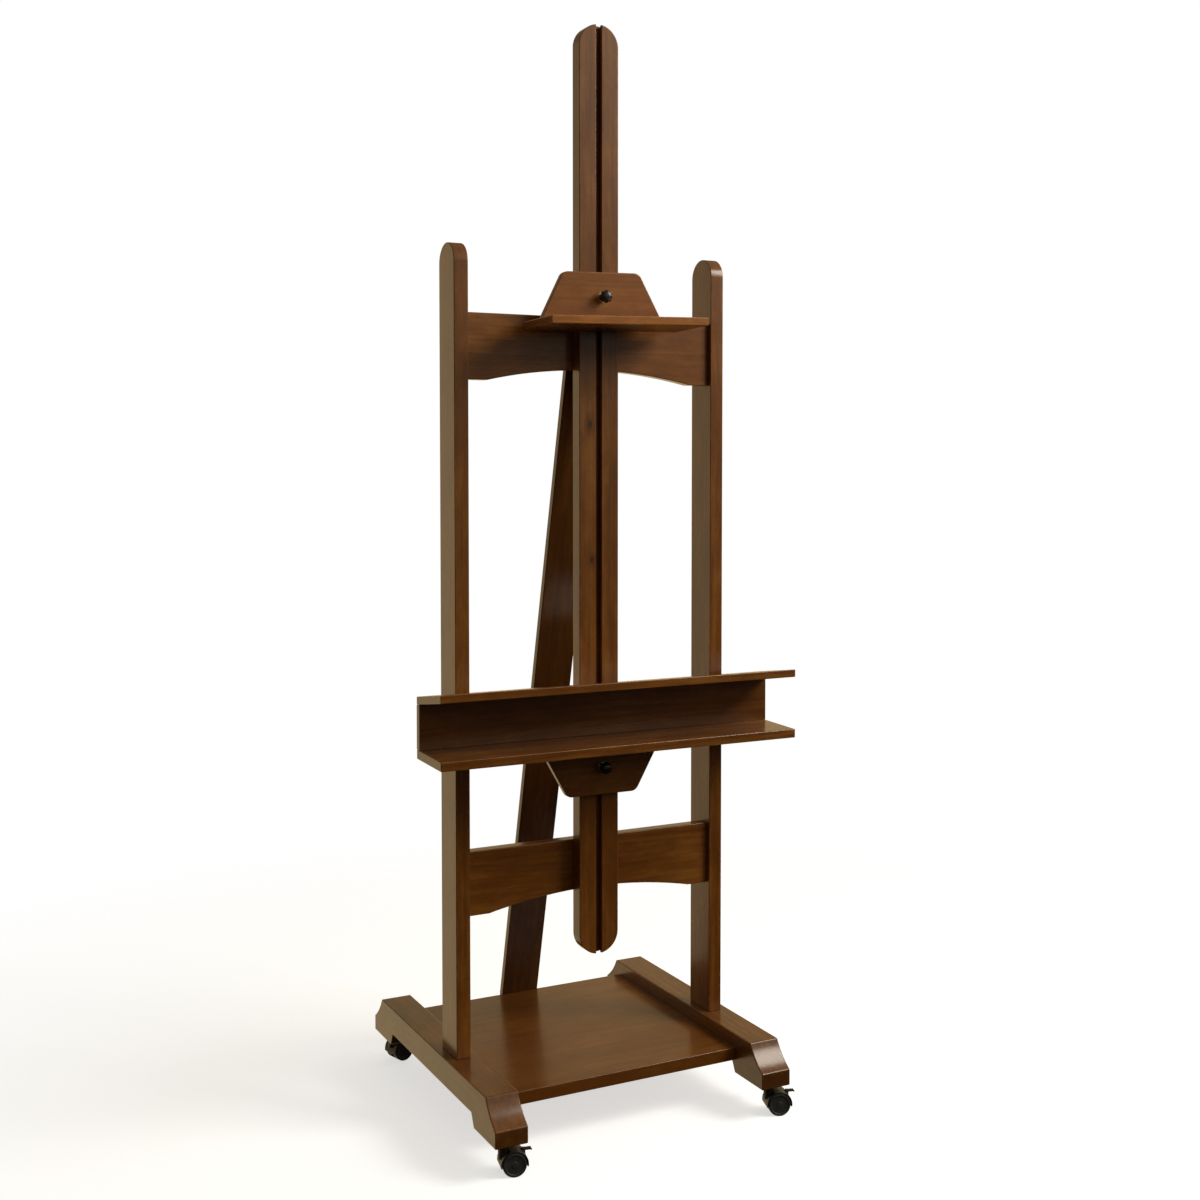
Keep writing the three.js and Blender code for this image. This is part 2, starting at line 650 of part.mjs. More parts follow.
function makeHood() {
  const { trail, wheelRadius, wheelWidth, webThickness, wheelGap, hoodInner, hoodOuter } = CASTER;
  const { halfWidth: notchHalf, start: notchStart, bottom: notchBottom } = CASTER.leverNotch;
  const halfWidth = webThickness / 2 + wheelGap + wheelWidth + 0.6;
  const bossTop = FOOT.bottom - CASTER.collar.thickness - RUNNING_GAP;
  const boss = rodAlongZ(0, 0, 34, bossTop, CASTER.bossRadius, 24);
  const shell = rodAlongY(trail, wheelRadius, -halfWidth, halfWidth, hoodOuter, 36);
  const cover = box(trail - 40, trail + 40, -halfWidth, halfWidth, CASTER.hoodLowerEdge, 80);
  const wheelSpace = rodAlongY(trail, wheelRadius, -halfWidth - 1, halfWidth + 1, hoodInner, 36);
  const web = rodAlongY(trail, wheelRadius, -webThickness / 2, webThickness / 2, hoodInner + 1, 36);
  const webCut = box(-40, 80, -10, 10, -10, 17);
  const notchBlock = box(trail + notchStart, trail + 40, -notchHalf, notchHalf, notchBottom, 80);
  const notch = notchBlock.subtract(rodAlongY(trail, wheelRadius, -10, 10, hoodInner - 0.5, 36));
  const pinBore = rodAlongZ(0, 0, bossTop - CASTER.pinLength - 1, bossTop + 1, CASTER.pinRadius + JOINT_GAP);
  const axleBore = rodAlongY(trail, wheelRadius, -10, 10, CASTER.axleRadius + JOINT_GAP);
  const cowl = shell.intersect(cover).add(boss).subtract(wheelSpace);
  return cowl.add(web.subtract(webCut)).subtract(notch).subtract(pinBore).subtract(axleBore);
}

// One wheel, with a raised rim, a shallow dish and a cap over the end of the axle; side is -1 or 1.
function makeWheel(side) {
  const { wheelRadius: r, wheelWidth: w, axleRadius, trail, capThickness } = CASTER;
  const bore = axleRadius + JOINT_GAP;
  const boreEnd = w - 0.6 - capThickness;
  const profile = [
    [bore, 0],
    [r - 2, 0],
    [r, 2],
    [r, w - 2.5],
    [r - 2.5, w],
    [r - 5, w],
    [r - 6.5, w - 1.5],
    [7, w - 1.5],
    [6, w - 0.6],
    [0, w - 0.6],
    [0, boreEnd],
    [bore, boreEnd],
    [bore, 0],
  ].map(([radius, along]) => new THREE.Vector2(radius, along));
  const geometry = new THREE.LatheGeometry(profile, ROUND);
  if (side < 0) geometry.rotateX(Math.PI);
  geometry.translate(trail, side * (CASTER.webThickness / 2 + CASTER.wheelGap), r);
  return toSolid(geometry);
}

function makeAxle() {
  const { webThickness, wheelGap, wheelWidth, capThickness } = CASTER;
  const reach = webThickness / 2 + wheelGap + wheelWidth - 0.6 - capThickness - RUNNING_GAP;
  return rodAlongY(CASTER.trail, CASTER.wheelRadius, -reach, reach, CASTER.axleRadius);
}

// A hooked foot pedal that swings in the notch of the hood.
function makeBrakeLever() {
  const points = [
    [22.9, 39.3],
    [24.9, 40.5],
    [24.2, 46.4],
    [34.6, 46.8],
    [37.2, 45.2],
    [38.6, 47],
    [36.6, 50],
    [19.2, 50.6],
    [17.4, 45.7],
  ].map(([x, z]) => [CASTER.trail + x, z]);
  return prismAlongY(outline(points), -CASTER.leverHalfWidth, CASTER.leverHalfWidth);
}

// Which way each caster trails, as an angle from +X.
const CORNERS = [
  { name: 'front_left', side: -1, end: -1, swivel: -12 },
  { name: 'front_right', side: 1, end: -1, swivel: -17.5 },
  { name: 'back_left', side: -1, end: 1, swivel: 16 },
  { name: 'back_right', side: 1, end: 1, swivel: -40 },
];

for (const corner of CORNERS) {
  const caster = new THREE.Group();
  caster.position.set(corner.side * stemX, corner.end * stemY, 0);
  caster.rotation.z = THREE.MathUtils.degToRad(corner.swivel);
  addMesh(`caster_${corner.name}_stem`, makeStem(), steel, caster);
  addMesh(`caster_${corner.name}_hood`, makeHood(), blackPlastic, caster);
  addMesh(`caster_${corner.name}_near_wheel`, makeWheel(-1), blackPlastic, caster);
  addMesh(`caster_${corner.name}_far_wheel`, makeWheel(1), blackPlastic, caster);
  addMesh(`caster_${corner.name}_axle`, makeAxle(), steel, caster);
  addMesh(`caster_${corner.name}_brake`, makeBrakeLever(), blackPlastic, caster);
  easel.add(caster);
}

export default easel;
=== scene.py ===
"""H-frame studio easel in dark stained wood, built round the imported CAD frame.

Metres, +Z up, front towards -Y. Outlines of pieces are in millimetres until they become meshes.
"""
import math
import random

import bmesh
import bpy
from mathutils import Matrix, Vector


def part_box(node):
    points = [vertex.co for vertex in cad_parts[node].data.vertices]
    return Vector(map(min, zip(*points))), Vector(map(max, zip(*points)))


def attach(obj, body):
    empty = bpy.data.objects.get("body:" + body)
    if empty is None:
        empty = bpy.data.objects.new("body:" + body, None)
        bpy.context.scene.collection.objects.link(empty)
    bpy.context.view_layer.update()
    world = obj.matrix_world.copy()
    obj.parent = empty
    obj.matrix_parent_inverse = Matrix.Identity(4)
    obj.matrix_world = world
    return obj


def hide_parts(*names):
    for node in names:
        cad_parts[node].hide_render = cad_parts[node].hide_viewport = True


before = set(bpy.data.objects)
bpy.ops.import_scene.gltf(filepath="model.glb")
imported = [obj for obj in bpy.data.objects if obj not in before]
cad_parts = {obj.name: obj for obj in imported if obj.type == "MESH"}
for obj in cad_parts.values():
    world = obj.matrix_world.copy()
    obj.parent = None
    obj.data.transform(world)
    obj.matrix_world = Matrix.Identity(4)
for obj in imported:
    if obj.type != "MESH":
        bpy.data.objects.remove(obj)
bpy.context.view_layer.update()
scene = bpy.context.scene

# ---- Camera ----

CAMERA_PLACE = (-1.5237, -3.1068, 1.4339)
CAMERA_HEADING = math.radians(27.16)
CAMERA_DIP = math.radians(2.39)
SENSOR_WIDTH = 36
FOCAL_LENGTH = 45.85
CAMERA_SHIFT = -0.062

camera_data = bpy.data.cameras.new("camera")
camera_data.sensor_width = SENSOR_WIDTH
camera_data.lens = FOCAL_LENGTH
camera_data.shift_y = CAMERA_SHIFT
camera_data.clip_start = 0.1
camera_data.clip_end = 100
camera = bpy.data.objects.new("camera", camera_data)
camera.location = CAMERA_PLACE
camera.rotation_euler = (math.radians(90) - CAMERA_DIP, 0, -CAMERA_HEADING)
scene.collection.objects.link(camera)
scene.camera = camera
scene.view_settings.view_transform = "Standard"

# ---- Shader helpers ----


class Nodes:
    """The node tree of a new material or world, with short calls for the nodes used here."""

    def __init__(self, owner):
        owner.use_nodes = True
        self.owner = owner
        self.tree = owner.node_tree
        self.shader = self.tree.nodes.get("Principled BSDF")

    def set(self, **values):
        """Sets plain values on the shader's sockets, each named with underscores for spaces."""
        for key, value in values.items():
            self.shader.inputs[key.replace("_", " ")].default_value = value

    def add(self, kind, **settings):
        node = self.tree.nodes.new(kind)
        for key, value in settings.items():
            setattr(node, key, value)
        return node

    def link(self, source, target):
        self.tree.links.new(source, target)

    def feed(self, socket, value):
        """Links an output socket, or sets a plain value."""
        if isinstance(value, bpy.types.NodeSocket):
            self.link(value, socket)
        else:
            socket.default_value = value

    def math(self, operation, *values, clamp=False):
        node = self.add("ShaderNodeMath", operation=operation, use_clamp=clamp)
        for socket, value in zip(node.inputs, values):
            self.feed(socket, value)
        return node.outputs[0]

    def vector(self, operation, a, b):
        node = self.add("ShaderNodeVectorMath", operation=operation)
        self.feed(node.inputs[0], a)
        self.feed(node.inputs[1], b)
        return node.outputs[0]

    def length(self, vector):
        node = self.add("ShaderNodeVectorMath", operation="LENGTH")
        self.link(vector, node.inputs[0])
        return node.outputs["Value"]

    def split(self, vector):
        node = self.add("ShaderNodeSeparateXYZ")
        self.link(vector, node.inputs[0])
        return node.outputs

    def mapping(self, vector, location=(0, 0, 0), rotation=(0, 0, 0), scale=(1, 1, 1)):
        node = self.add("ShaderNodeMapping")
        self.feed(node.inputs["Vector"], vector)
        node.inputs["Location"].default_value = location
        node.inputs["Rotation"].default_value = rotation
        node.inputs["Scale"].default_value = scale
        return node.outputs[0]

    def noise(self, vector, scale=1.0, detail=2.0, roughness=0.5, output="Fac"):
        node = self.add("ShaderNodeTexNoise")
        self.feed(node.inputs["Vector"], vector)
        node.inputs["Scale"].default_value = scale
        node.inputs["Detail"].default_value = detail
        node.inputs["Roughness"].default_value = roughness
        return node.outputs[output]

    def span(self, value, low, high, new_low=0.0, new_high=1.0):
        """Maps a value's range onto another, clamped."""
        node = self.add("ShaderNodeMapRange")
        self.feed(node.inputs["Value"], value)
        keys = ("From Min", "From Max", "To Min", "To Max")
        for key, number in zip(keys, (low, high, new_low, new_high)):
            node.inputs[key].default_value = number
        return node.outputs["Result"]

    def ramp(self, value, stops):
        node = self.add("ShaderNodeValToRGB")
        self.feed(node.inputs["Fac"], value)
        elements = node.color_ramp.elements
        while len(elements) < len(stops):
            elements.new(0.5)
        for element, (place, colour) in zip(elements, stops):
            element.position = place
            element.color = (*colour, 1)
        return node.outputs["Color"]

    def mix(self, factor, a, b):
        """Mixes two colours, each a socket or an (r, g, b) tuple.

        The node's colour sockets are inputs 6 and 7 and output 2.
        """
        node = self.add("ShaderNodeMix", data_type="RGBA")
        self.feed(node.inputs["Factor"], factor)
        self.feed(node.inputs[6], (*a, 1) if isinstance(a, tuple) else a)
        self.feed(node.inputs[7], (*b, 1) if isinstance(b, tuple) else b)
        return node.outputs[2]

    def bump(self, height, strength, distance):
        node = self.add("ShaderNodeBump")
        node.inputs["Strength"].default_value = strength
        node.inputs["Distance"].default_value = distance
        self.feed(node.inputs["Height"], height)
        self.link(node.outputs["Normal"], self.shader.inputs["Normal"])


# ---- Materials ----

GRAIN_TURNS = {
    "X": (0, math.radians(-90), 0),
    "Y": (math.radians(90), 0, 0),
    "Z": (0, 0, 0),
}
# the rounded faces' layer, which carries both wear and a painted highlight on the edges
WEAR_AND_HIGHLIGHT_LAYER = "edge"
STAIN = ((0.045, 0.0120, 0.0011), (0.162, 0.0530, 0.0056), (0.330, 0.1370, 0.0240))
RAW_WOOD = ((0.42, 0.25, 0.12), (0.68, 0.48, 0.28))
PORE_COLOUR = (0.022, 0.008, 0.002)
KNOT_COLOUR = (0.018, 0.0065, 0.0014)
END_GRAIN = (0.040, 0.0140, 0.0030)
# paler stain for the rounded edges: part wear, part painted highlight
WORN_STAIN_AND_HIGHLIGHT = (0.300, 0.130, 0.035)
RINGS_PER_METRE = 75.0
PITH_TILT = 0.03
RING_BEND = 0.06

# Noise in the wood: scale across and along the grain, detail and roughness
WOOD_NOISE = {
    "uneven": (40, 1.5, 3, 0.55),
    "cloud": (11, 3.2, 4, 0.60),
    "blotch": (38, 13, 4, 0.65),
    "streak": (85, 2.6, 4, 0.60),
    "fibre": (620, 16, 3, 0.65),
    "pores": (1500, 55, 1, 0.50),
}
# How much each noise lightens the stain: the range taken from it, and its share. The rings darken it
STAIN_SHARES = {
    "cloud": (0.28, 0.72, 0.38),
    "blotch": (0.25, 0.75, 0.26),
    "streak": (0.20, 0.80, 0.30),
    "fibre": (0.20, 0.80, 0.12),
}
RING_SHARE = 0.13


def toned(colour, tone):
    """A colour made lighter or darker by a factor."""
    return tuple(channel * tone for channel in colour)


def growth_rings(n, along, offset, bend, uneven, pith, draw):
    """Dark late wood in rings: distance from a slightly tilted pith line, bent by slow noise."""
    centre = (-offset[0] + pith, -offset[1] - pith * 0.7, 0)
    tilt = (draw.uniform(-PITH_TILT, PITH_TILT), draw.uniform(-PITH_TILT, PITH_TILT), 0)
    rings_at = n.mapping(n.vector("ADD", along, bend), location=centre, rotation=tilt)
    distance = n.length(n.vector("MULTIPLY", rings_at, (1.0, 1.0, 0.0)))
    phase = n.math("MULTIPLY_ADD", distance, RINGS_PER_METRE, n.math("MULTIPLY", uneven, 2.2))
    ring = n.math("FRACT", phase)
    late = n.span(ring, 0.30, 0.92)
    fall = n.span(ring, 0.92, 1.0, 1.0, 0.0)
    return n.math("MULTIPLY", n.math("MULTIPLY", late, fall), n.span(uneven, 0.35, 0.65))


def add_knot(n, colour, coords, bend, place, radius):
    """A dark heart with a softer halo, longer along the grain than across it."""
    apart = n.vector("SUBTRACT", coords, place)
    apart = n.vector("MULTIPLY", apart, (1.0, 1.0, 0.55))
    apart = n.vector("ADD", apart, n.vector("MULTIPLY", bend, (0.08, 0.08, 0.08)))
    far = n.length(apart)
    halo = n.span(far, radius * 2.2, radius * 0.9, 0.0, 0.35)
    heart = n.span(far, radius, radius * 0.4, 0.0, 0.8)
    return n.mix(n.math("MAXIMUM", halo, heart), colour, KNOT_COLOUR)


def wood(name, grain, seed, tone=1.0, pith=0.06, lean=0.0, raw=False, knots=(), figure=1.0):
    """Stained, lacquered wood with its grain along one axis, or raw wood with no finish.

    pith is how far the tree's heart lies from the board, and figure is the contrast of the grain.
    Each knot is a place in metres and a radius.
    """
    n = Nodes(bpy.data.materials.new(name))
    draw = random.Random(seed)
    offset = [draw.uniform(-3, 3) for _ in range(3)]
    texture = n.add("ShaderNodeTexCoord").outputs
    coords = texture["Object"]
    turn = GRAIN_TURNS[grain]
    turn = (turn[0] + lean, turn[1], turn[2])
    along = n.vector("ADD", n.mapping(coords, rotation=turn), tuple(offset))
    bend = n.noise(n.mapping(along, scale=(6, 6, 1.6)), detail=3, output="Color")
    bend = n.vector("SUBTRACT", bend, (0.5, 0.5, 0.5))
    bend = n.vector("MULTIPLY", bend, (RING_BEND, RING_BEND, 0.0))

    layers = {}
    for key, (across, lengthwise, detail, roughness) in WOOD_NOISE.items():
        stretched = n.mapping(along, scale=(across, across, lengthwise))
        layers[key] = n.noise(stretched, detail=detail, roughness=roughness)
    fibre = layers["fibre"]
    pores = n.span(layers["pores"], 0.60, 0.72)
    ring = growth_rings(n, along, offset, bend, layers["uneven"], pith, draw)

    depth = 0.0
    for key, (low, high, share) in STAIN_SHARES.items():
        depth = n.math("MULTIPLY_ADD", n.span(layers[key], low, high), share, depth)
    depth = n.math("SUBTRACT", depth, n.math("MULTIPLY", ring, RING_SHARE))
    depth = n.math("MULTIPLY_ADD", depth, figure, 0.5 - 0.5 * figure, clamp=True)
    shades = RAW_WOOD if raw else [toned(shade, tone) for shade in STAIN]
    colour = n.ramp(depth, [(i / (len(shades) - 1), shade) for i, shade in enumerate(shades)])
    colour = n.mix(n.math("MULTIPLY", pores, 0.35), colour, PORE_COLOUR)
    for place, radius in knots:
        colour = add_knot(n, colour, coords, bend, place, radius)

    # end grain drinks more stain
    facing = n.split(n.mapping(texture["Normal"], rotation=turn))["Z"]
    end = n.span(n.math("ABSOLUTE", facing), 0.75, 1.0, 0.0, 0.45)
    colour = n.mix(end, colour, toned(END_GRAIN, tone))

    # worn edges are paler, partly where handling has thinned the stain and partly as a painted highlight
    # along the rounded edges
    if not raw:
        edge = n.add("ShaderNodeAttribute", attribute_name=WEAR_AND_HIGHLIGHT_LAYER).outputs["Fac"]
        rubbed_and_highlit = n.span(n.noise(coords, scale=38, detail=4, roughness=0.65), 0.46, 0.62)
        worn_and_highlit = n.math("MULTIPLY", n.math("MULTIPLY", edge, rubbed_and_highlit), 0.45)
        colour = n.mix(worn_and_highlit, colour, toned(WORN_STAIN_AND_HIGHLIGHT, tone))
    n.link(colour, n.shader.inputs["Base Color"])

    smear = n.noise(n.mapping(coords, scale=(9, 9, 9)), detail=3, roughness=0.6)
    gloss = n.math("MULTIPLY_ADD", fibre, 0.10, n.span(smear, 0.3, 0.7, 0.36, 0.48))
    gloss = n.math("ADD", gloss, n.math("MULTIPLY", pores, 0.18))
    n.link(gloss, n.shader.inputs["Roughness"])
    if raw:
        n.set(Specular_IOR_Level=0.3)
    else:
        n.set(Specular_IOR_Level=0.1, Coat_Weight=0.95, Coat_Roughness=0.2)
    shallow = n.math("MULTIPLY", n.math("SUBTRACT", 1.0, pores), 0.7)
    n.bump(n.math("MULTIPLY_ADD", fibre, 0.5, shallow), 0.35, 0.00025)
    return n.owner


DUST_COLOUR = (0.10, 0.095, 0.088)
TARNISH = 0.62


def plastic(name, colour, rough, grain_scale, speckle):
    """Moulded plastic: a fine spark-eroded grain, faint flow marks and scuffed dust."""
    n = Nodes(bpy.data.materials.new(name))
    coords = n.add("ShaderNodeTexCoord").outputs["Object"]
    cloud = n.noise(coords, scale=60, detail=4, roughness=0.6)
    dust = n.span(n.noise(coords, scale=420, detail=5, roughness=0.7), 0.55, 0.75)
    pale = tuple(channel * 1.7 + 0.004 for channel in colour)
    tint = n.mix(n.span(cloud, 0.3, 0.7), colour, pale)
    dusty = n.mix(n.math("MULTIPLY", dust, speckle), tint, DUST_COLOUR)
    n.link(dusty, n.shader.inputs["Base Color"])
    n.link(n.math("MULTIPLY_ADD", cloud, 0.18, rough - 0.09), n.shader.inputs["Roughness"])
    n.bump(n.noise(coords, scale=grain_scale, detail=2, roughness=0.5), 0.25, 0.0001)
    return n.owner


def metal(name, colour, rough):
    """Zinc-plated steel: fine turning marks, faint clouding and a little tarnish."""
    n = Nodes(bpy.data.materials.new(name))
    coords = n.add("ShaderNodeTexCoord").outputs["Object"]
    cloud = n.noise(coords, scale=90, detail=4, roughness=0.6)
    lines = n.noise(n.mapping(coords, scale=(300, 4000, 300)), detail=2)
    clouded = n.mix(n.span(cloud, 0.35, 0.7), colour, toned(colour, TARNISH))
    n.link(clouded, n.shader.inputs["Base Color"])
    n.link(n.math("MULTIPLY_ADD", lines, 0.2, rough - 0.1), n.shader.inputs["Roughness"])
    n.set(Metallic=1.0)
    n.bump(lines, 0.15, 0.00005)
    return n.owner


knob_black = plastic("knob_black", (0.010, 0.010, 0.010), 0.24, 2600, 0.10)
hood_black = plastic("hood_black", (0.014, 0.014, 0.015), 0.42, 1800, 0.25)
tyre_black = plastic("tyre_black", (0.024, 0.024, 0.025), 0.55, 1500, 0.45)
zinc = metal("zinc", (0.62, 0.61, 0.58), 0.36)
beech = wood("beech", "Z", 91, raw=True)

# ---- Mesh helpers ----

MM = 1000  # millimetres in a metre
SHARP_ANGLE = math.radians(40)

PLACES = {
    "X": lambda a, b, c: (c, a, b),
    "Y": lambda a, b, c: (a, c, b),
    "Z": lambda a, b, c: (a, b, c),
}


def arc(cx, cy, radius, start, end, steps):
    """Points of an arc from one angle to another, in degrees."""
    angles = (math.radians(start + (end - start) * i / steps) for i in range(steps + 1))
    return [(cx + radius * math.cos(t), cy + radius * math.sin(t)) for t in angles]


def prism(outline, axis, low, high):
    """A closed outline carried along an axis.

    The outline is in (y, z) for X, (x, z) for Y and (x, y) for Z.
    """
    bm = bmesh.new()
    place = PLACES[axis]
    caps = []
    for level in (low, high):
        caps.append([bm.verts.new(Vector(place(a, b, level)) / MM) for a, b in outline])
    bm.faces.new(caps[0])
    bm.faces.new(caps[1])
    count = len(outline)
    for i in range(count):
        j = (i + 1) % count
        bm.faces.new((caps[0][i], caps[0][j], caps[1][j], caps[1][i]))
    bmesh.ops.recalc_face_normals(bm, faces=bm.faces)
    return bm


def soften(bm, width, segments=3, least=25.0):
    """Rounds every edge sharper than least degrees, and marks the rounded faces for wear and painted edge
    highlight.
    """
    edges = [edge for edge in bm.edges if edge.calc_face_angle() > math.radians(least)]
    made = bmesh.ops.bevel(
        bm, geom=edges, offset=width / MM, offset_type="OFFSET", segments=segments, profile=0.5,
        affect="EDGES", clamp_overlap=True,
    )
    layer = bm.loops.layers.float.new(WEAR_AND_HIGHLIGHT_LAYER)
    for face in made["faces"]:
        for loop in face.loops:
            loop[layer] = 1.0
    return bm


def turned(profile, steps=48, shape=lambda radius, angle: radius, ring=False):
    """A solid turned about the Y axis, from (radius, along) points.

    The points run from axis to axis or, for a ring, all round. shape may change a radius with its angle.
    """
    bm = bmesh.new()
    rounds = []
    for radius, along in profile:
        corners = []
        for i in range(steps if radius else 1):
            angle = 2 * math.pi * i / steps
            reach = shape(radius, angle)
            place = (reach * math.cos(angle) / MM, along / MM, reach * math.sin(angle) / MM)
            corners.append(bm.verts.new(place))
        rounds.append(corners)
    if ring:
        rounds.append(rounds[0])
    for low, high in zip(rounds, rounds[1:]):
        for i in range(steps):
            j = (i + 1) % steps
            corners = [low[i % len(low)], low[j % len(low)], high[j % len(high)], high[i % len(high)]]
            bm.faces.new(list(dict.fromkeys(corners)))
    bmesh.ops.recalc_face_normals(bm, faces=bm.faces)
    return bm


def combine(base, tool, operation):
    """One closed mesh with another joined on (UNION) or cut away (DIFFERENCE). Both are used up."""
    pair = []
    for source in (base, tool):
        mesh = bpy.data.meshes.new("draft")
        source.to_mesh(mesh)
        source.free()
        draft = bpy.data.objects.new("draft", mesh)
        scene.collection.objects.link(draft)
        pair.append(draft)
    change = pair[0].modifiers.new("change", "BOOLEAN")
    change.operation = operation
    change.solver = "EXACT"
    change.object = pair[1]
    bpy.context.view_layer.update()
    result = bmesh.new()
    result.from_object(pair[0], bpy.context.evaluated_depsgraph_get())
    for draft in pair:
        bpy.data.meshes.remove(draft.data)
    return result


def finish_piece(name, bm, body, material, nodes, move=None):
    """Makes a piece of the easel, which rides on a body and stands for CAD nodes. move places its mesh."""
    mesh = bpy.data.meshes.new(name)
    if move is not None:
        bm.transform(move)
    if bm.loops.layers.float.get(WEAR_AND_HIGHLIGHT_LAYER) is None:
        bm.loops.layers.float.new(WEAR_AND_HIGHLIGHT_LAYER)
    bm.to_mesh(mesh)
    bm.free()
    mesh.materials.append(material)
    mesh.shade_smooth()
    mesh.set_sharp_from_angle(angle=SHARP_ANGLE)
    piece = bpy.data.objects.new(name, mesh)
    scene.collection.objects.link(piece)
    fix = piece.modifiers.new("flat_faces", "WEIGHTED_NORMAL")
    fix.mode = "FACE_AREA"
    fix.weight = 50
    fix.keep_sharp = True
    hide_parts(*nodes)
    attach(piece, body)


def wooden(name, bm, body, node, material, move=None):
    """A stained board or beam, which stands for one CAD node."""
    finish_piece(name, bm, body, material, [node], move)


def box_mm(node):
    low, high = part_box(node)
    return [v * MM for v in low], [v * MM for v in high]


def placed(x, y, z):
    """A move by millimetres."""
    return Matrix.Translation((x / MM, y / MM, z / MM))


BOLT_HOLE = 4.3
DRILL_PAST = 5


def drill(bm, y0, y1, z):
    """Drills a clamp bolt's hole through a board, along Y at x = 0."""
    start, stop = y0 - DRILL_PAST, y1 + DRILL_PAST
    bit = turned([(0, start), (BOLT_HOLE, start), (BOLT_HOLE, stop), (0, stop)], 40)
    bit.transform(placed(0, 0, z))
    return combine(bm, bit, "DIFFERENCE")


def bolt_height(clamp):
    """How high the middle of a clamp's bolt is, in millimetres."""
    (_, _, z0), (_, _, z1) = box_mm(f"{clamp}_clamp_bolt")
    return (z0 + z1) / 2


# ---- Base ----

CHAMFER_RUN = 50
CHAMFER_DROP = 53
CHAMFER_HOLLOW = 5
PAD_LENGTH = 113
PAD_SLOPE = 14
UNDERSIDE_RISE = 28


def cove(start, end, hollow, steps=10):
    """Points of a shallow curve from start to end that bows to the right of its path."""
    (a0, b0), (a1, b1) = start, end
    chord = math.hypot(a1 - a0, b1 - b0)
    points = []
    for i in range(steps + 1):
        t = i / steps
        sag = 4 * hollow * t * (1 - t) / chord
        points.append((a0 + (a1 - a0) * t + (b1 - b0) * sag, b0 + (b1 - b0) * t - (a1 - a0) * sag))
    return points


def build_foot(side, seed, tone):
    node = f"{side}_foot"
    (x0, y0, z0), (x1, y1, z1) = box_mm(node)
    under = z0 + UNDERSIDE_RISE
    outline = [
        (y0, z0), (y0 + PAD_LENGTH, z0), (y0 + PAD_LENGTH + PAD_SLOPE, under),
        (y1 - PAD_LENGTH - PAD_SLOPE, under), (y1 - PAD_LENGTH, z0), (y1, z0),
    ]
    back_cove = cove((y1 - CHAMFER_RUN, z1), (y1, z1 - CHAMFER_DROP), CHAMFER_HOLLOW)
    front_cove = cove((y0, z1 - CHAMFER_DROP), (y0 + CHAMFER_RUN, z1), CHAMFER_HOLLOW)
    outline += back_cove[::-1] + front_cove[::-1]
    bm = soften(prism(outline, "X", x0, x1), 2.4, 4, 20)
    wooden(f"{side}_foot_beam", bm, "frame", node, wood(f"wood_{node}", "Y", seed, tone))


build_foot("left", 11, 0.95)
build_foot("right", 12, 0.98)

SHELF_TONGUE = 10


def build_shelf():
    """The board between the feet, without the CAD's tongues, which are out of sight inside them."""
    (x0, y0, z0), (x1, y1, z1) = box_mm("base_shelf")
    left, right = x0 + SHELF_TONGUE, x1 - SHELF_TONGUE
    outline = [(left, y0), (right, y0), (right, y1), (left, y1)]
    bm = soften(prism(outline, "Z", z0, z1), 1.6, 3)
    material = wood("wood_base_shelf", "X", 13, 1.05, 0.25, figure=0.55)
    wooden("base_shelf_board", bm, "frame", "base_shelf", material)


build_shelf()

# ---- Uprights and rails ----

TENON_IN_FOOT = 40
RAIL_TENON = 14
ARCH_SPAN = 496
ARCH_RISE = 27


def build_upright(side, seed, tone):
    node = f"{side}_upright"
    (x0, y0, z0), (x1, y1, z1) = box_mm(node)
    radius = (y1 - y0) / 2
    middle = (y0 + y1) / 2
    foot_top = z0 + TENON_IN_FOOT
    outline = [(y0, foot_top), (y1, foot_top)] + arc(middle, z1 - radius, radius, 0, 180, 36)
    bm = soften(prism(outline, "X", x0, x1), 1.8, 3)
    wooden(f"{side}_upright_post", bm, "frame", node, wood(f"wood_{node}", "Z", seed, tone))


def build_rail(clamp, seed, tone):
    node = f"{clamp}_rail"
    (x0, y0, z0), (x1, y1, z1) = box_mm(node)
    x0, x1 = x0 + RAIL_TENON, x1 - RAIL_TENON
    half = ARCH_SPAN / 2
    radius = (half * half + ARCH_RISE * ARCH_RISE) / (2 * ARCH_RISE)
    centre_z = z0 + ARCH_RISE - radius
    spread = math.degrees(math.asin(half / radius))
    arch = arc(0, centre_z, radius, 90 + spread, 90 - spread, 40)
    outline = [(x0, z0)] + arch + [(x1, z0), (x1, z1), (x0, z1)]
    bm = soften(prism(outline, "Y", y0, y1), 2.0, 3, 30)
    bm = drill(bm, y0, y1, bolt_height(clamp))
    wooden(f"{node}_board", bm, "frame", node, wood(f"wood_{node}", "X", seed, tone, 0.1))


build_upright("left", 21, 1.05)
build_upright("right", 22, 1.1)
build_rail("crest", 23, 1.25)
build_rail("lower", 24, 1.12)

# ---- Rear strut ----

SHELF_TOP = 128
STRUT_CONTACT = 1655
STRUT_SCREWS = [f"strut_{end}_screw_{side}" for end in ("top", "foot") for side in ("left", "right")]
SCREW_RADIUS = 2.2
SCREW_HEAD_HEIGHT = 3
SCREW_HOLE_SPARE = 4
HEAD_BORE_DEPTH = 60
HOLE_GAP = 0.2


def screw_hole(node):
    """The hole for a screw's shank, with a wider bore for its sunk head."""
    (x0, tip, z0), (x1, top, z1) = box_mm(node)
    seat = top - SCREW_HEAD_HEIGHT
    start, stop = tip - SCREW_HOLE_SPARE, seat + HEAD_BORE_DEPTH
    shank, head = SCREW_RADIUS + HOLE_GAP, (x1 - x0) / 2 + HOLE_GAP
    bm = turned([(0, start), (shank, start), (shank, seat), (head, seat), (head, stop), (0, stop)], 40)
    bm.transform(placed((x0 + x1) / 2, 0, (z0 + z1) / 2))
    return bm


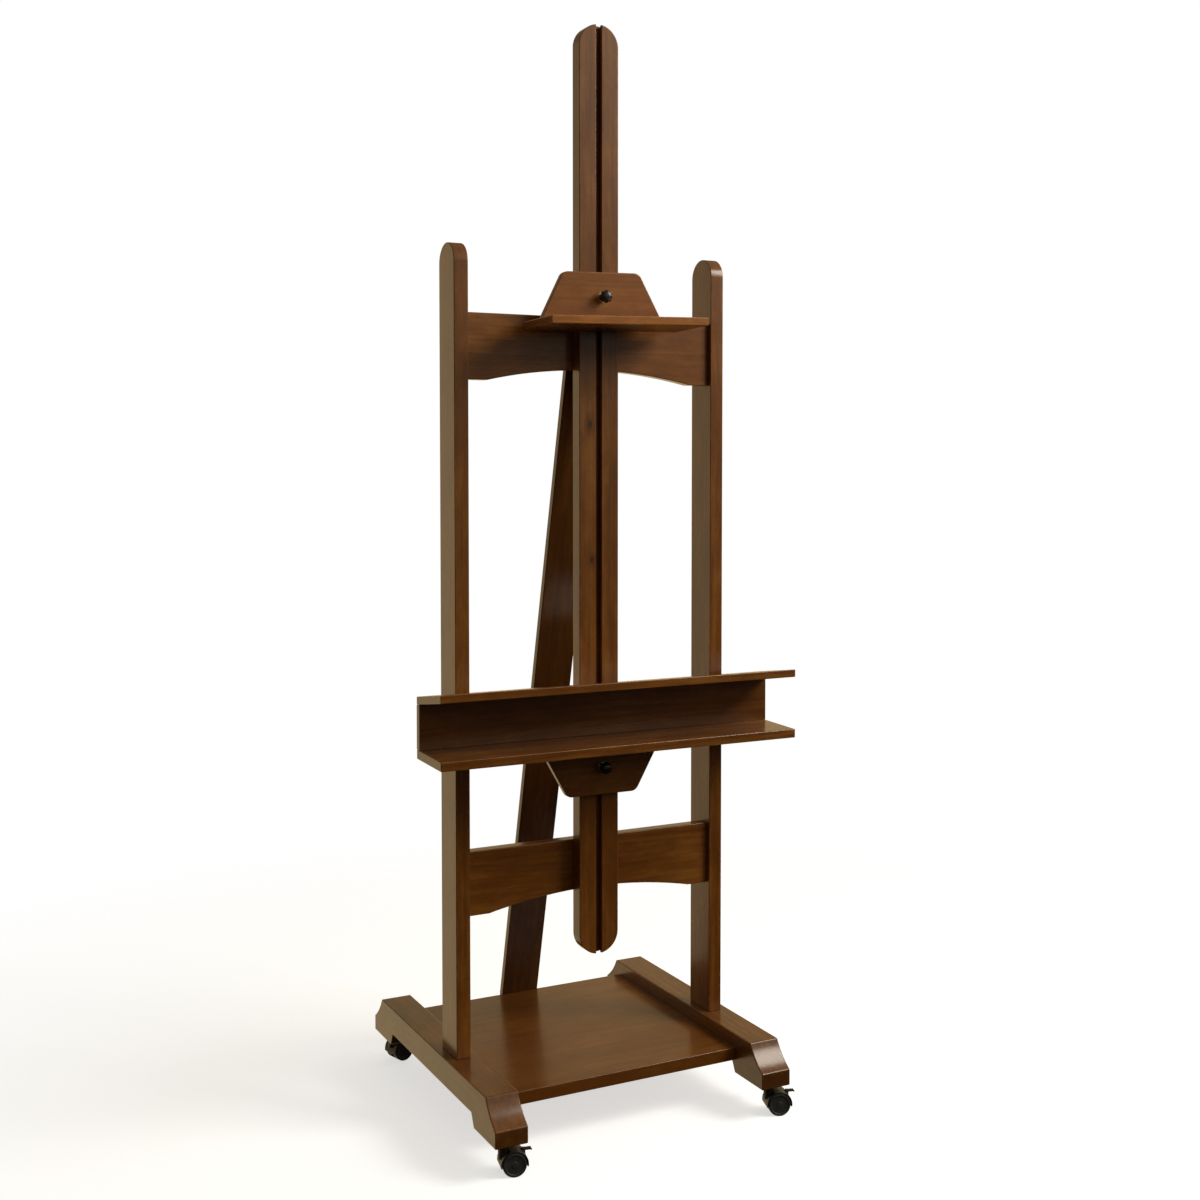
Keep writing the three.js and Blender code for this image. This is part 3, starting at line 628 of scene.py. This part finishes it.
def build_strut():
    (x0, y0, z0), (x1, y1, z1) = box_mm("rear_strut")
    shelf_back = box_mm("base_shelf")[1][1]
    across = y1 - shelf_back
    slope = (shelf_back - y0) / (STRUT_CONTACT - SHELF_TOP)
    top_front = shelf_back - slope * (z1 - SHELF_TOP)
    outline = [
        (shelf_back, z0), (y1, z0), (y1, SHELF_TOP), (top_front + across, z1), (y0, z1),
        (y0, STRUT_CONTACT), (shelf_back, SHELF_TOP),
    ]
    bm = soften(prism(outline, "X", x0, x1), 1.8, 3, 30)
    for node in STRUT_SCREWS:
        bm = combine(bm, screw_hole(node), "DIFFERENCE")
    # tone 0.5 is painted shade: the strut is darkened for the shade that falls on it under the tray and
    # rails
    material = wood("wood_rear_strut", "Z", 31, 0.5, lean=-math.atan(slope))
    wooden("rear_strut_board", bm, "frame", "rear_strut", material)


build_strut()

# ---- Mast ----

GROOVE_MOUTH = 13.4
GROOVE_LIP = 8
GROOVE_WIDTH = 22
GROOVE_DEPTH = 8
SLOT_MOUTH = 9
SLOT_LIP = 6
SLOT_WIDTH = 21.6
SLOT_DEPTH = 7
SLOT_MARGIN = 40
GROOVE_FLARE = 1.2
FLARE_TURNS = (0.35, 0.8, 1.2, math.pi / 2)
CUT_PAST = 5
MAST_KNOTS = (((-0.022, 1.515), 0.008), ((-0.018, 1.22), 0.006))


def groove_cutter(front, inward, mouth, lip, width, depth, z0, z1):
    """A T-shaped bar whose mouth flares, so that the groove's edges come out rounded.

    inward is +1 or -1 along Y.
    """
    half = mouth / 2
    right = [(half + GROOVE_FLARE * 2, -1.0), (half + GROOVE_FLARE, 0.0)]
    for turn in FLARE_TURNS:
        right.append((half + GROOVE_FLARE * (1 - math.sin(turn)), GROOVE_FLARE * (1 - math.cos(turn))))
    right += [(half, lip), (width / 2, lip), (width / 2, lip + depth)]
    left = [(-a, b) for a, b in reversed(right)]
    outline = [(a, front + inward * b) for a, b in right + left]
    return prism(outline, "Z", z0, z1)


def build_mast():
    (x0, y0, z0), (x1, y1, z1) = box_mm("mast")
    radius = (x1 - x0) / 2
    outline = arc(0, z1 - radius, radius, 0, 180, 40) + arc(0, z0 + radius, radius, 180, 360, 40)
    board = soften(prism(outline, "Y", y0, y1), 1.8, 3)
    front_ends = (z0 - CUT_PAST, z1 + CUT_PAST)
    back_ends = (z0 + SLOT_MARGIN, z1 - SLOT_MARGIN)
    groove = groove_cutter(y0, 1, GROOVE_MOUTH, GROOVE_LIP, GROOVE_WIDTH, GROOVE_DEPTH, *front_ends)
    slot = groove_cutter(y1, -1, SLOT_MOUTH, SLOT_LIP, SLOT_WIDTH, SLOT_DEPTH, *back_ends)
    board = combine(combine(board, groove, "DIFFERENCE"), slot, "DIFFERENCE")
    knots = [((x, y0 / MM, z), size) for (x, z), size in MAST_KNOTS]
    wooden("mast_board", board, "mast", "mast", wood("wood_mast", "Z", 41, 1.0, 0.05, knots=knots))


build_mast()

# ---- Tray ----

JOINT_GAP = 0.2
TRAY_TOP_BOARD = 17
TRAY_BOTTOM_BOARD = 19.5


def tray_lines():
    """The sloping lower face of the bottom board and upper face of the top board, as functions of y."""
    low, high = box_mm("tray_bottom_board")
    top_low, top_high = box_mm("tray_top_board")
    front, back = low[1], high[1]
    fall = (high[2] - low[2]) - TRAY_BOTTOM_BOARD
    rise = (top_high[2] - top_low[2]) - TRAY_TOP_BOARD

    def under(y):
        return low[2] + fall * (y - front) / (back - front)

    def upper(y):
        return top_high[2] - rise * (y - front) / (back - front)

    return under, upper


under_tray, upper_tray = tray_lines()


def build_tray_board(node, low_at, high_at, seed, tone, rounding):
    """A long board of the tray, between two faces whose heights are functions of y."""
    (x0, y0, _), (x1, y1, _) = box_mm(node)
    outline = [(y1, low_at(y1)), (y1, high_at(y1)), (y0, high_at(y0)), (y0, low_at(y0))]
    bm = soften(prism(outline, "X", x0, x1), rounding, 4)
    wooden(f"{node}_wood", bm, "tray", node, wood(f"wood_{node}", "X", seed, tone, 0.09))


# Heights inside the tray's channel and of the back board that stands in it, as functions of y
def channel_floor(y):
    return under_tray(y) + TRAY_BOTTOM_BOARD


def channel_roof(y):
    return upper_tray(y) - TRAY_TOP_BOARD


def back_low(y):
    return channel_floor(y) + JOINT_GAP


def back_high(y):
    return channel_roof(y) - JOINT_GAP


build_tray_board("tray_top_board", channel_roof, upper_tray, 51, 1.15, 1.8)
build_tray_board("tray_bottom_board", under_tray, channel_floor, 52, 1.1, 1.8)
# the back board's tone 0.8 is painted shade, for the top board's shadow over it
build_tray_board("tray_back_board", back_low, back_high, 53, 0.8, 0.8)

PLATE_CORNER = 20
PLATE_ROUNDING = 2.2
TRAY_PLATE = {"wide": 296, "narrow": 168}


def plate_outline(wide, narrow, wide_z, narrow_z):
    """A tapered plate with square corners at its wide edge and rounded ones at its narrow edge."""
    flip = 1 if narrow_z > wide_z else -1
    lean = math.degrees(math.atan2((wide - narrow) / 2, abs(narrow_z - wide_z)))
    cut = PLATE_CORNER * math.tan(math.radians(90 - lean) / 2)
    cx, cz = narrow / 2 - cut, narrow_z - flip * PLATE_CORNER
    right = arc(cx, cz, PLATE_CORNER, flip * lean, flip * 90, 10)
    left = arc(-cx, cz, PLATE_CORNER, flip * 90, flip * (180 - lean), 10)
    return [(-wide / 2, wide_z), (wide / 2, wide_z)] + right + left


def build_tray_plate():
    (_, y0, z0), (_, y1, z1) = box_mm("tray_plate")
    outline = plate_outline(TRAY_PLATE["wide"], TRAY_PLATE["narrow"], z1, z0)
    bm = soften(prism(outline, "Y", y0, y1), PLATE_ROUNDING, 4)
    bm = drill(bm, y0, y1, bolt_height("tray"))
    wooden("tray_plate_wood", bm, "tray", "tray_plate", wood("wood_tray_plate", "X", 54, 1.0, 0.08))


build_tray_plate()

# ---- Upper holder, made square and then turned about its bolt ----

HOLDER_BOLT_Z = 1790
HOLDER_ROLL = math.radians(1.5)
LIP = {"length": 373, "depth": 144, "thickness": 17.4, "offset": 3.5, "front_top": -51.2, "rise": 4}
HOLDER_PLATE = {"bottom": -54.6, "height": 108.6, "wide": 299.8, "narrow": 184}
HOLDER_FIGURE = 0.7
holder_place = placed(0, 0, HOLDER_BOLT_Z) @ Matrix.Rotation(-HOLDER_ROLL, 4, "Y")


def build_holder():
    (_, y0, _), (_, y1, _) = box_mm("holder_plate")
    bottom = HOLDER_PLATE["bottom"]
    top = bottom + HOLDER_PLATE["height"]
    outline = plate_outline(HOLDER_PLATE["wide"], HOLDER_PLATE["narrow"], bottom, top)
    bm = soften(prism(outline, "Y", y0, y1), PLATE_ROUNDING, 4)
    bm = drill(bm, y0, y1, 0)
    material = wood("wood_holder_plate", "X", 61, 1.4, 0.07, figure=HOLDER_FIGURE)
    wooden("holder_plate_wood", bm, "holder", "holder_plate", material, holder_place)

    front, top, thick = y1 - LIP["depth"], LIP["front_top"], LIP["thickness"]
    back_top = top - LIP["rise"]
    outline = [(front, top - thick), (y1, back_top - thick), (y1, back_top), (front, top)]
    left, right = LIP["offset"] - LIP["length"] / 2, LIP["offset"] + LIP["length"] / 2
    bm = soften(prism(outline, "X", left, right), 1.8, 3)
    material = wood("wood_holder_lip", "X", 62, 1.9, 0.07, figure=HOLDER_FIGURE)
    wooden("holder_lip_wood", bm, "holder", "holder_lip", material, holder_place)


build_holder()

# ---- Clamps ----

KNOB_HUB = 8.5
KNOB_LOBES = 8
LOBE_DEPTH = 1.7
KNOB_BORE = 4.2
KNOB_BORE_DEPTH = 18
KNOB_FADE = 4
KNOB_HUB_EDGE = 0.8
WASHER_BORE = 4.4
WASHER_EDGE = 0.3
WASHER_RIM = (0.5, 0.4)

# The grip's domed face and rounded back: share of its radius, and depth from its face
KNOB_CURVE = (
    (0.30, 0.15), (0.52, 0.7), (0.70, 1.9), (0.85, 4.0), (0.95, 6.6),
    (1.00, 10.0), (0.97, 13.6), (0.87, 16.6), (0.74, 18.8),
)
# Depths where the back of the grip meets the hub
KNOB_NECK = (20.2, 21.4)


def knob_radius(radius, angle):
    """Eight shallow flutes round the grip, which fade out towards the hub and the middle of the face."""
    fade = min(1, max(0, (radius - KNOB_HUB) / KNOB_FADE))
    return radius - LOBE_DEPTH * fade * (0.5 - 0.5 * math.cos(KNOB_LOBES * angle)) ** 2


def build_knob(clamp, body):
    """A hand knob, blind bored for its bolt. The two behind the rails face backwards."""
    (x0, y0, z0), (x1, y1, z1) = box_mm(f"{clamp}_knob")
    grip, length = (x1 - x0) / 2, y1 - y0
    bore_end = length - KNOB_BORE_DEPTH
    profile = [(0, 0)] + [(grip * share, depth) for share, depth in KNOB_CURVE]
    profile += [(KNOB_HUB + 0.7, KNOB_NECK[0]), (KNOB_HUB, KNOB_NECK[1])]
    profile += [(KNOB_HUB, length - KNOB_HUB_EDGE), (KNOB_HUB - KNOB_HUB_EDGE, length)]
    profile += [(KNOB_BORE, length), (KNOB_BORE, bore_end), (0, bore_end)]
    faces_back = y0 > box_mm("mast")[1][1]
    face, inwards = (y1, -1) if faces_back else (y0, 1)
    bm = turned([(radius, face + inwards * depth) for radius, depth in profile], 96, knob_radius)
    place = placed(0, 0, (z0 + z1) / 2)
    finish_piece(f"{clamp}_grip", bm, body, knob_black, [f"{clamp}_knob"], place)


def build_washer(clamp, body):
    (x0, y0, z0), (x1, y1, z1) = box_mm(f"{clamp}_washer")
    rim, (round_in, round_down) = (x1 - x0) / 2, WASHER_RIM
    bore, edge = WASHER_BORE, WASHER_EDGE
    profile = [(bore, y0 + edge), (bore + edge, y0), (rim - round_in, y0), (rim, y0 + round_down)]
    profile += [(rim, y1 - round_down), (rim - round_in, y1), (bore + edge, y1), (bore, y1 - edge)]
    bm = turned(profile, 64, ring=True)
    place = placed(0, 0, (z0 + z1) / 2)
    finish_piece(f"{clamp}_disc", bm, body, zinc, [f"{clamp}_washer"], place)


for clamp, knob_body, washer_body in (
    ("tray_clamp", "tray_knob", "tray"),
    ("holder_clamp", "holder_knob", "holder"),
    ("crest_clamp", "crest_knob", "frame"),
    ("lower_clamp", "lower_knob", "frame"),
):
    build_knob(clamp, knob_body)
    build_washer(clamp, washer_body)

# ---- Screws of the strut, with slotted heads ----

SLOT_HALF = 0.6
SLOT_CUT = 1.3
# The domed head: share of its radius, and depth below its top
SCREW_DOME = ((0.93, 1.2), (0.7, 0.4), (0.35, 0.08))


def build_screw(node):
    (x0, tip, z0), (x1, top, z1) = box_mm(node)
    head = (x1 - x0) / 2
    seat = top - SCREW_HEAD_HEIGHT
    profile = [(0, tip), (0.9, tip + 0.6), (SCREW_RADIUS, tip + 4), (SCREW_RADIUS, seat)]
    profile += [(head - 0.2, seat), (head, seat + 0.3)]
    profile += [(head * share, top - depth) for share, depth in SCREW_DOME] + [(0, top)]
    reach = head + 1
    outline = [(-reach, -SLOT_HALF), (reach, -SLOT_HALF), (reach, SLOT_HALF), (-reach, SLOT_HALF)]
    bm = combine(turned(profile), prism(outline, "Y", top - SLOT_CUT, top + 1), "DIFFERENCE")
    place = placed((x0 + x1) / 2, 0, (z0 + z1) / 2)
    finish_piece(f"{node}_turned", bm, "frame", zinc, [node], place)


for node in STRUT_SCREWS:
    build_screw(node)

# ---- Casters: drawn with the stem on the Z axis, the axle along Y and the trail towards +X ----

TRAIL = 20
WHEEL = {"radius": 25, "width": 17, "bore": 3.2, "cap": 2.4, "tread_line": 0.35, "dish": 1.5}
WHEEL_ROUNDS = {"inner": 2.2, "outer": 2.6}
WHEEL_INNER = 4.4
STEM_PIN = 18
HOOD = {"inner": 26, "outer": 28.6, "half": 22, "lower": 20, "web": 3.5, "web_drop": 8, "spare": 2}
BOSS = {"radius": 11, "low": 34, "gap": 0.3}
PIN_HOLE = {"radius": 4.2, "low": 46, "high": 90}
AXLE_BORE_HALF = 10
LEVER_NOTCH = {"half": 6, "start": 13.5, "run": 30, "bottom": 33, "top": 80}
UPRIGHT_AXIS = Matrix.Rotation(math.radians(90), 4, "X")
SWIVELS = {"front_left": -12, "front_right": -17.5, "back_left": 16, "back_right": -40}

# The pedal's side outline, measured away from the axle and up from the floor
LEVER_UNDER = (
    (22.9, 39.3), (24.9, 40.5), (24.2, 46.4), (34.6, 46.8), (37.2, 45.2), (38.6, 47), (36.6, 50),
)
LEVER_HEEL = ((19.2, 50.6), (17.4, 45.7))
LEVER_RIBS = 4
RIB_START = 34.2
RIB_PITCH = 3.2
LEVER_HALF = 5


def build_wheel(side):
    """One wheel: a rounded tyre with a fine line round its tread, a rim, a dished face and a cap."""
    r, w, bore = WHEEL["radius"], WHEEL["width"], WHEEL["bore"]
    cap, tread, groove = w - 0.6, w * 0.5, r - WHEEL["tread_line"]
    dish = w - WHEEL["dish"]
    bore_end = cap - WHEEL["cap"]
    inner, outer = WHEEL_ROUNDS["inner"], WHEEL_ROUNDS["outer"]
    profile = [(0, bore_end), (bore, bore_end), (bore, 0), (8, 0), (8.6, 0.5), (19, 0.5), (19.6, 0)]
    profile += [(b, a) for a, b in arc(inner, r - inner, inner, 180, 90, 5)]
    profile += [(r, tread - 0.6), (groove, tread - 0.3), (groove, tread + 0.3), (r, tread + 0.6)]
    profile += [(b, a) for a, b in arc(w - outer, r - outer, outer, 90, 0, 6)]
    profile += [(20.3, w), (19.9, w - 0.2), (18.9, dish + 0.15), (18.4, dish), (7.4, dish)]
    profile += [(7, dish + 0.1), (6.4, cap - 0.2), (5.8, cap), (0, cap)]
    bm = turned([(radius, side * (along + WHEEL_INNER)) for radius, along in profile], 72)
    bm.transform(placed(TRAIL, 0, r))
    return bm


def wheel_drum(radius, half):
    """A drum about the axle, as wide as twice half."""
    return prism(arc(TRAIL, WHEEL["radius"], radius, 0, 355, 71), "Y", -half, half)


def stem_turned(profile, steps):
    """A solid turned about the stem's axis, from (radius, height) points."""
    bm = turned(profile, steps)
    bm.transform(UPRIGHT_AXIS)
    return bm


def axle_bore():
    bore, half = WHEEL["bore"], AXLE_BORE_HALF
    bm = turned([(0, -half), (bore, -half), (bore, half), (0, half)], 32)
    bm.transform(placed(TRAIL, 0, WHEEL["radius"]))
    return bm


def hood_cover():
    axle, inner, outer = WHEEL["radius"], HOOD["inner"], HOOD["outer"]
    drop = axle - HOOD["lower"]
    out, back = (math.degrees(math.asin(drop / reach)) for reach in (outer, inner))
    outline = arc(TRAIL, axle, outer, -out, 180 + out, 48)
    outline += arc(TRAIL, axle, inner, 180 + back, -back, 48)
    return soften(prism(outline, "Y", -HOOD["half"], HOOD["half"]), 1.1, 3, 40)


def hood_boss():
    top = box_mm("caster_front_left_stem")[0][2] + STEM_PIN - BOSS["gap"]
    low, radius = BOSS["low"], BOSS["radius"]
    profile = [(0, low), (radius, low), (radius, top - 1.2), (10.6, top - 0.3), (9.8, top), (0, top)]
    return stem_turned(profile, 64)


def hood_web():
    reach = HOOD["inner"] + 1
    low = math.degrees(math.asin(HOOD["web_drop"] / reach))
    outline = arc(TRAIL, WHEEL["radius"], reach, -low, 180 + low, 60)
    return prism(outline, "Y", -HOOD["web"], HOOD["web"])


def lever_notch():
    """What the notch for the lever takes out of the cover: a block beyond the wheels' reach."""
    start, bottom, top = TRAIL + LEVER_NOTCH["start"], LEVER_NOTCH["bottom"], LEVER_NOTCH["top"]
    end, half = start + LEVER_NOTCH["run"], LEVER_NOTCH["half"]
    block = prism([(start, bottom), (end, bottom), (end, top), (start, top)], "Y", -half, half)
    return combine(block, wheel_drum(HOOD["inner"] - 0.5, HOOD["half"]), "DIFFERENCE")


def build_hood():
    """A rounded cover over both wheels, with a web between them.

    It has a boss for the stem, a notch for the lever, and holes for the stem's pin and the axle.
    """
    hood = combine(hood_cover(), hood_boss(), "UNION")
    hood = combine(hood, wheel_drum(HOOD["inner"], HOOD["half"] + HOOD["spare"]), "DIFFERENCE")
    hood = combine(hood, hood_web(), "UNION")
    hood = combine(hood, lever_notch(), "DIFFERENCE")
    radius, low, high = PIN_HOLE["radius"], PIN_HOLE["low"], PIN_HOLE["high"]
    pin = stem_turned([(0, low), (radius, low), (radius, high), (0, high)], 32)
    hood = combine(hood, pin, "DIFFERENCE")
    return combine(hood, axle_bore(), "DIFFERENCE")


def build_lever():
    """A hooked pedal, with ribs across its top for the shoe."""
    ribs = []
    for i in range(LEVER_RIBS):
        at = RIB_START - i * RIB_PITCH
        ribs += [(at, 50.05), (at - 0.5, 49.4), (at - 1.3, 49.4), (at - 1.8, 50.1)]
    outline = [(TRAIL + a, b) for a, b in (*LEVER_UNDER, *ribs, *LEVER_HEEL)]
    return soften(prism(outline, "Y", -LEVER_HALF, LEVER_HALF), 0.5, 2, 50)


def build_stem(z0, z1):
    """A pin down into the hood, a collar under the foot and a shank up into it."""
    collar = z0 + STEM_PIN
    profile = [(0, z0), (3.4, z0), (4, z0 + 0.8), (4, collar), (11.8, collar), (12.4, collar + 0.5)]
    profile += [(12.5, collar + 1), (12.5, collar + 2.2), (11.9, collar + 3), (5, collar + 3)]
    profile += [(5, z1 - 1), (4, z1), (0, z1)]
    return stem_turned(profile, 64)


def build_caster(corner):
    node = f"caster_{corner}"
    (x0, y0, z0), (x1, y1, z1) = box_mm(f"{node}_stem")
    turn = Matrix.Rotation(math.radians(SWIVELS[corner]), 4, "Z")
    place = placed((x0 + x1) / 2, (y0 + y1) / 2, 0) @ turn
    pieces = [
        ("stem", "turned", build_stem(z0, z1), "frame", "steel", zinc),
        ("hood", "cover", build_hood(), f"{corner}_caster", "caster_black", hood_black),
        ("near_wheel", "tyre", build_wheel(-1), f"{corner}_near_wheel", "caster_black", tyre_black),
        ("far_wheel", "tyre", build_wheel(1), f"{corner}_far_wheel", "caster_black", tyre_black),
        ("brake", "lever", build_lever(), f"{corner}_brake", "caster_black", hood_black),
    ]
    for part, word, bm, body, slot, material in pieces:
        finish_piece(f"{node}_{part}_{word}", bm, body, material, [f"{node}_{part}"], place)


for corner in SWIVELS:
    build_caster(corner)

# ---- Hidden metal and dowels keep their CAD shape and get their materials here ----


def dress(node, material):
    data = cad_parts[node].data
    data.materials.clear()
    data.materials.append(material)


for prefix in ("tray_clamp", "holder_clamp", "crest_clamp", "lower_clamp"):
    dress(f"{prefix}_bolt", zinc)
for node in ("tray_guide_key", "tray_dowel_left", "tray_dowel_right"):
    dress(node, beech)
for node in ("holder_dowel_left", "holder_dowel_right"):
    dress(node, beech)
for corner in SWIVELS:
    dress(f"caster_{corner}_axle", zinc)

# ---- Floor and light ----

FLOOR_RADIUS = 4.0
FLOOR_FADE = (2.4, 0.9)  # metres from the middle at which the floor is gone, and is still whole
FLOOR_COLOURS = ((0.78, 0.83, 0.90), (0.82, 0.87, 0.94))
FLOOR_GLOW = 0.62
WHITE = (1, 1, 1)
BLACK = (0, 0, 0)
BACKDROP_TINT = (1.0, 0.75, 0.41)
OVERHEAD_TINT = (1.0, 0.88, 0.68)
KEY_PLACE = (2.5, -2.1, 3.4)
KEY_TARGET = (0, 0, 1.5)
KEY_SIZE = 1.7
KEY_POWER = 98
KEY_COLOUR = (1.0, 0.93, 0.82)


def build_floor():
    """A pale floor that fades into the white surroundings away from the easel."""
    mesh = bpy.data.meshes.new("floor")
    bm = bmesh.new()
    bmesh.ops.create_circle(bm, cap_ends=True, segments=96, radius=FLOOR_RADIUS)
    bm.to_mesh(mesh)
    bm.free()
    floor = bpy.data.objects.new("floor", mesh)
    scene.collection.objects.link(floor)
    n = Nodes(bpy.data.materials.new("pale_floor"))
    coords = n.add("ShaderNodeTexCoord").outputs["Object"]
    cloud = n.noise(coords, scale=1.5, detail=3)
    n.link(n.mix(cloud, *FLOOR_COLOURS), n.shader.inputs["Base Color"])
    n.set(Roughness=0.7, Specular_IOR_Level=0.1)
    n.set(Emission_Color=(*WHITE, 1), Emission_Strength=FLOOR_GLOW)
    n.link(n.span(n.length(coords), *FLOOR_FADE), n.shader.inputs["Alpha"])
    mesh.materials.append(n.owner)
    floor.visible_glossy = False
    floor.visible_diffuse = False


def build_world():
    """White to the camera. As light it is a bright sweep behind the easel, and dim in front."""
    n = Nodes(bpy.data.worlds.new("studio"))
    n.tree.nodes.clear()
    towards = n.split(n.add("ShaderNodeTexCoord").outputs["Generated"])
    behind = n.span(towards["Y"], 0.15, 0.65)
    backdrop = n.span(towards["Z"], 0.10, 0.50, 0.80, 0.18)
    rising = n.span(towards["Z"], -0.12, 0.28, 0.02, 0.62)
    falling = n.span(towards["Z"], 0.45, 0.95, 0.62, 0.32)
    from_right = n.span(towards["X"], -0.7, 0.3, 0.25, 1.0)
    overhead = n.math("MULTIPLY", n.math("MINIMUM", rising, falling), from_right)
    front = n.mix(overhead, BLACK, OVERHEAD_TINT)
    back = n.mix(backdrop, BLACK, BACKDROP_TINT)
    glow = n.mix(behind, front, back)
    seen = n.add("ShaderNodeLightPath").outputs["Is Camera Ray"]
    light = n.add("ShaderNodeBackground")
    n.link(n.mix(seen, glow, WHITE), light.inputs["Color"])
    out = n.add("ShaderNodeOutputWorld")
    n.link(light.outputs["Background"], out.inputs["Surface"])
    scene.world = n.owner


def build_key_light():
    """One large soft light, high on the right and in front."""
    data = bpy.data.lights.new("key", "AREA")
    data.size = KEY_SIZE
    data.energy = KEY_POWER
    data.color = KEY_COLOUR
    lamp = bpy.data.objects.new("key", data)
    lamp.location = KEY_PLACE
    aim = Vector(KEY_TARGET) - Vector(KEY_PLACE)
    lamp.rotation_euler = aim.to_track_quat("-Z", "Y").to_euler()
    scene.collection.objects.link(lamp)


build_floor()
build_world()
build_key_light()
